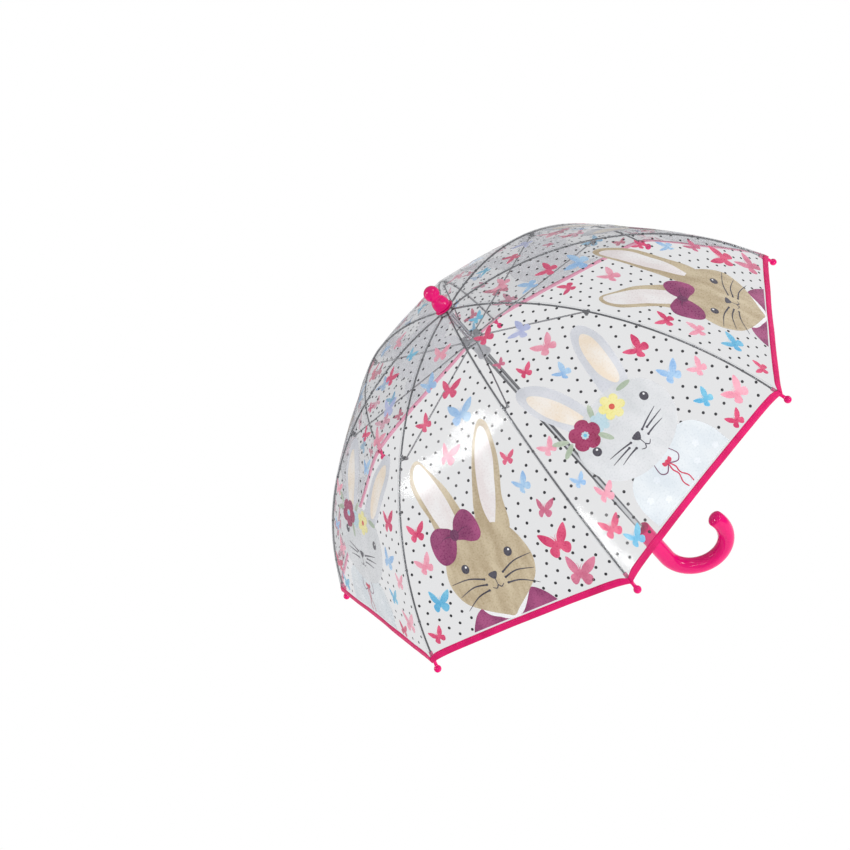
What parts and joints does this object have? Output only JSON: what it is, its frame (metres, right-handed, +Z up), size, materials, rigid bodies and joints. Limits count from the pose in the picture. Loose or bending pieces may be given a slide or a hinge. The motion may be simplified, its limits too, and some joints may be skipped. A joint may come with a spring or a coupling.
{
  "type": "children's dome umbrella",
  "caption": "Child's clear dome umbrella with coloured hem, ball-ended ribs, sliding runner and hooked handle; opens and closes.",
  "frame": {"origin": "middle of the straight hand grip, on the shaft's axis", "axes": "+Z up the shaft from the grip to the crown; rib 1 points along +X, and the crook opens towards +X, turned 10 degrees towards -Y"},
  "size_m": [0.719, 0.719, 0.596],
  "materials": {
    "pink_plastic": "glossy moulded plastic",
    "pink_binding": "satin polyester tape",
    "steel_tube": "bright plated steel",
    "dark_wire": "dark grey satin",
    "grey_plastic": "smooth moulded",
    "clear_film": "clear printed film"
  },
  "bodies": {
    "shaft": {"shaft_tube": "steel_tube", "ferrule": "pink_plastic", "top_notch": "grey_plastic", "notch_wire": "steel_tube", "canopy_washer": "pink_plastic", "runner_stop": "steel_tube", "handle": "pink_plastic"},
    "top_catch": {"top_catch": "steel_tube"},
    "bottom_catch": {"bottom_catch": "steel_tube"},
    "runner": {"runner": "grey_plastic", "runner_wire": "steel_tube"},
    "rib_1": {"rib_1": "dark_wire", "rib_tip_1": "pink_plastic", "rib_joint_1": "dark_wire"},
    "rib_2": {"rib_2": "dark_wire", "rib_tip_2": "pink_plastic", "rib_joint_2": "dark_wire"},
    "rib_3": {"rib_3": "dark_wire", "rib_tip_3": "pink_plastic", "rib_joint_3": "dark_wire"},
    "rib_4": {"rib_4": "dark_wire", "rib_tip_4": "pink_plastic", "rib_joint_4": "dark_wire"},
    "rib_5": {"rib_5": "dark_wire", "rib_tip_5": "pink_plastic", "rib_joint_5": "dark_wire"},
    "rib_6": {"rib_6": "dark_wire", "rib_tip_6": "pink_plastic", "rib_joint_6": "dark_wire"},
    "rib_7": {"rib_7": "dark_wire", "rib_tip_7": "pink_plastic", "rib_joint_7": "dark_wire"},
    "rib_8": {"rib_8": "dark_wire", "rib_tip_8": "pink_plastic", "rib_joint_8": "dark_wire"},
    "stretcher_1": {"stretcher_1": "dark_wire"},
    "stretcher_2": {"stretcher_2": "dark_wire"},
    "stretcher_3": {"stretcher_3": "dark_wire"},
    "stretcher_4": {"stretcher_4": "dark_wire"},
    "stretcher_5": {"stretcher_5": "dark_wire"},
    "stretcher_6": {"stretcher_6": "dark_wire"},
    "stretcher_7": {"stretcher_7": "dark_wire"},
    "stretcher_8": {"stretcher_8": "dark_wire"},
    "panel_1": {"canopy_panel_1": "clear_film", "hem_binding_1": "pink_binding"},
    "panel_2": {"canopy_panel_2": "clear_film", "hem_binding_2": "pink_binding"},
    "panel_3": {"canopy_panel_3": "clear_film", "hem_binding_3": "pink_binding"},
    "panel_4": {"canopy_panel_4": "clear_film", "hem_binding_4": "pink_binding"},
    "panel_5": {"canopy_panel_5": "clear_film", "hem_binding_5": "pink_binding"},
    "panel_6": {"canopy_panel_6": "clear_film", "hem_binding_6": "pink_binding"},
    "panel_7": {"canopy_panel_7": "clear_film", "hem_binding_7": "pink_binding"},
    "panel_8": {"canopy_panel_8": "clear_film", "hem_binding_8": "pink_binding"}
  },
  "joints": [
    {"name": "runner_slide", "type": "slide", "parent": "shaft", "child": "runner", "axis": [0, 0, -1], "range_m": [0, 0.29345]},
    {"name": "top_catch_press", "type": "slide", "parent": "shaft", "child": "top_catch", "axis": [1, 0, 0], "range_m": [0, 0.0028], "stiffness_N_per_m": 400},
    {"name": "bottom_catch_press", "type": "slide", "parent": "shaft", "child": "bottom_catch", "axis": [1, 0, 0], "range_m": [0, 0.0028], "stiffness_N_per_m": 400},
    {"name": "rib_1_fold", "type": "hinge", "parent": "shaft", "child": "rib_1", "pos_m": [0.009, 0, 0.47], "axis": [0, 1, 0], "range_deg": [0, 53.24]},
    {"name": "rib_2_fold", "type": "hinge", "parent": "shaft", "child": "rib_2", "pos_m": [0.00636, 0.00636, 0.47], "axis": [-0.7071, 0.7071, 0], "range_deg": [0, 53.24]},
    {"name": "rib_3_fold", "type": "hinge", "parent": "shaft", "child": "rib_3", "pos_m": [0, 0.009, 0.47], "axis": [-1, 0, 0], "range_deg": [0, 53.24]},
    {"name": "rib_4_fold", "type": "hinge", "parent": "shaft", "child": "rib_4", "pos_m": [-0.00636, 0.00636, 0.47], "axis": [-0.7071, -0.7071, 0], "range_deg": [0, 53.24]},
    {"name": "rib_5_fold", "type": "hinge", "parent": "shaft", "child": "rib_5", "pos_m": [-0.009, 0, 0.47], "axis": [0, -1, 0], "range_deg": [0, 53.24]},
    {"name": "rib_6_fold", "type": "hinge", "parent": "shaft", "child": "rib_6", "pos_m": [-0.00636, -0.00636, 0.47], "axis": [0.7071, -0.7071, 0], "range_deg": [0, 53.24]},
    {"name": "rib_7_fold", "type": "hinge", "parent": "shaft", "child": "rib_7", "pos_m": [0, -0.009, 0.47], "axis": [1, 0, 0], "range_deg": [0, 53.24]},
    {"name": "rib_8_fold", "type": "hinge", "parent": "shaft", "child": "rib_8", "pos_m": [0.00636, -0.00636, 0.47], "axis": [0.7071, 0.7071, 0], "range_deg": [0, 53.24]},
    {"name": "stretcher_1_fold", "type": "hinge", "parent": "runner", "child": "stretcher_1", "pos_m": [0.0125, 0, 0.418], "axis": [0, -1, 0], "range_deg": [0, 69.66]},
    {"name": "stretcher_2_fold", "type": "hinge", "parent": "runner", "child": "stretcher_2", "pos_m": [0.00884, 0.00884, 0.418], "axis": [0.7071, -0.7071, 0], "range_deg": [0, 69.66]},
    {"name": "stretcher_3_fold", "type": "hinge", "parent": "runner", "child": "stretcher_3", "pos_m": [0, 0.0125, 0.418], "axis": [1, 0, 0], "range_deg": [0, 69.66]},
    {"name": "stretcher_4_fold", "type": "hinge", "parent": "runner", "child": "stretcher_4", "pos_m": [-0.00884, 0.00884, 0.418], "axis": [0.7071, 0.7071, 0], "range_deg": [0, 69.66]},
    {"name": "stretcher_5_fold", "type": "hinge", "parent": "runner", "child": "stretcher_5", "pos_m": [-0.0125, 0, 0.418], "axis": [0, 1, 0], "range_deg": [0, 69.66]},
    {"name": "stretcher_6_fold", "type": "hinge", "parent": "runner", "child": "stretcher_6", "pos_m": [-0.00884, -0.00884, 0.418], "axis": [-0.7071, 0.7071, 0], "range_deg": [0, 69.66]},
    {"name": "stretcher_7_fold", "type": "hinge", "parent": "runner", "child": "stretcher_7", "pos_m": [0, -0.0125, 0.418], "axis": [-1, 0, 0], "range_deg": [0, 69.66]},
    {"name": "stretcher_8_fold", "type": "hinge", "parent": "runner", "child": "stretcher_8", "pos_m": [0.00884, -0.00884, 0.418], "axis": [-0.7071, -0.7071, 0], "range_deg": [0, 69.66]},
    {"name": "panel_1_fold", "type": "hinge", "parent": "shaft", "child": "panel_1", "pos_m": [0.00768, 0.00318, 0.47], "axis": [-0.3827, 0.9239, 0], "range_deg": [0, 51.23], "deforming": ["canopy_panel_1", "hem_binding_1"]},
    {"name": "panel_2_fold", "type": "hinge", "parent": "shaft", "child": "panel_2", "pos_m": [0.00318, 0.00768, 0.47], "axis": [-0.9239, 0.3827, 0], "range_deg": [0, 51.23], "deforming": ["canopy_panel_2", "hem_binding_2"]},
    {"name": "panel_3_fold", "type": "hinge", "parent": "shaft", "child": "panel_3", "pos_m": [-0.00318, 0.00768, 0.47], "axis": [-0.9239, -0.3827, 0], "range_deg": [0, 51.23], "deforming": ["canopy_panel_3", "hem_binding_3"]},
    {"name": "panel_4_fold", "type": "hinge", "parent": "shaft", "child": "panel_4", "pos_m": [-0.00768, 0.00318, 0.47], "axis": [-0.3827, -0.9239, 0], "range_deg": [0, 51.23], "deforming": ["canopy_panel_4", "hem_binding_4"]},
    {"name": "panel_5_fold", "type": "hinge", "parent": "shaft", "child": "panel_5", "pos_m": [-0.00768, -0.00318, 0.47], "axis": [0.3827, -0.9239, 0], "range_deg": [0, 51.23], "deforming": ["canopy_panel_5", "hem_binding_5"]},
    {"name": "panel_6_fold", "type": "hinge", "parent": "shaft", "child": "panel_6", "pos_m": [-0.00318, -0.00768, 0.47], "axis": [0.9239, -0.3827, 0], "range_deg": [0, 51.23], "deforming": ["canopy_panel_6", "hem_binding_6"]},
    {"name": "panel_7_fold", "type": "hinge", "parent": "shaft", "child": "panel_7", "pos_m": [0.00318, -0.00768, 0.47], "axis": [0.9239, 0.3827, 0], "range_deg": [0, 51.23], "deforming": ["canopy_panel_7", "hem_binding_7"]},
    {"name": "panel_8_fold", "type": "hinge", "parent": "shaft", "child": "panel_8", "pos_m": [0.00768, -0.00318, 0.47], "axis": [0.3827, 0.9239, 0], "range_deg": [0, 51.23], "deforming": ["canopy_panel_8", "hem_binding_8"]}
  ],
  "couplings": [
    {"joint": "rib_1_fold", "follows": "runner_slide", "rad_per_m": 3.1653},
    {"joint": "rib_2_fold", "follows": "runner_slide", "rad_per_m": 3.1653},
    {"joint": "rib_3_fold", "follows": "runner_slide", "rad_per_m": 3.1653},
    {"joint": "rib_4_fold", "follows": "runner_slide", "rad_per_m": 3.1653},
    {"joint": "rib_5_fold", "follows": "runner_slide", "rad_per_m": 3.1653},
    {"joint": "rib_6_fold", "follows": "runner_slide", "rad_per_m": 3.1653},
    {"joint": "rib_7_fold", "follows": "runner_slide", "rad_per_m": 3.1653},
    {"joint": "rib_8_fold", "follows": "runner_slide", "rad_per_m": 3.1653},
    {"joint": "stretcher_1_fold", "follows": "runner_slide", "rad_per_m": 4.1424},
    {"joint": "stretcher_2_fold", "follows": "runner_slide", "rad_per_m": 4.1424},
    {"joint": "stretcher_3_fold", "follows": "runner_slide", "rad_per_m": 4.1424},
    {"joint": "stretcher_4_fold", "follows": "runner_slide", "rad_per_m": 4.1424},
    {"joint": "stretcher_5_fold", "follows": "runner_slide", "rad_per_m": 4.1424},
    {"joint": "stretcher_6_fold", "follows": "runner_slide", "rad_per_m": 4.1424},
    {"joint": "stretcher_7_fold", "follows": "runner_slide", "rad_per_m": 4.1424},
    {"joint": "stretcher_8_fold", "follows": "runner_slide", "rad_per_m": 4.1424},
    {"joint": "panel_1_fold", "follows": "runner_slide", "rad_per_m": 3.0458},
    {"joint": "panel_2_fold", "follows": "runner_slide", "rad_per_m": 3.0458},
    {"joint": "panel_3_fold", "follows": "runner_slide", "rad_per_m": 3.0458},
    {"joint": "panel_4_fold", "follows": "runner_slide", "rad_per_m": 3.0458},
    {"joint": "panel_5_fold", "follows": "runner_slide", "rad_per_m": 3.0458},
    {"joint": "panel_6_fold", "follows": "runner_slide", "rad_per_m": 3.0458},
    {"joint": "panel_7_fold", "follows": "runner_slide", "rad_per_m": 3.0458},
    {"joint": "panel_8_fold", "follows": "runner_slide", "rad_per_m": 3.0458}
  ]
}
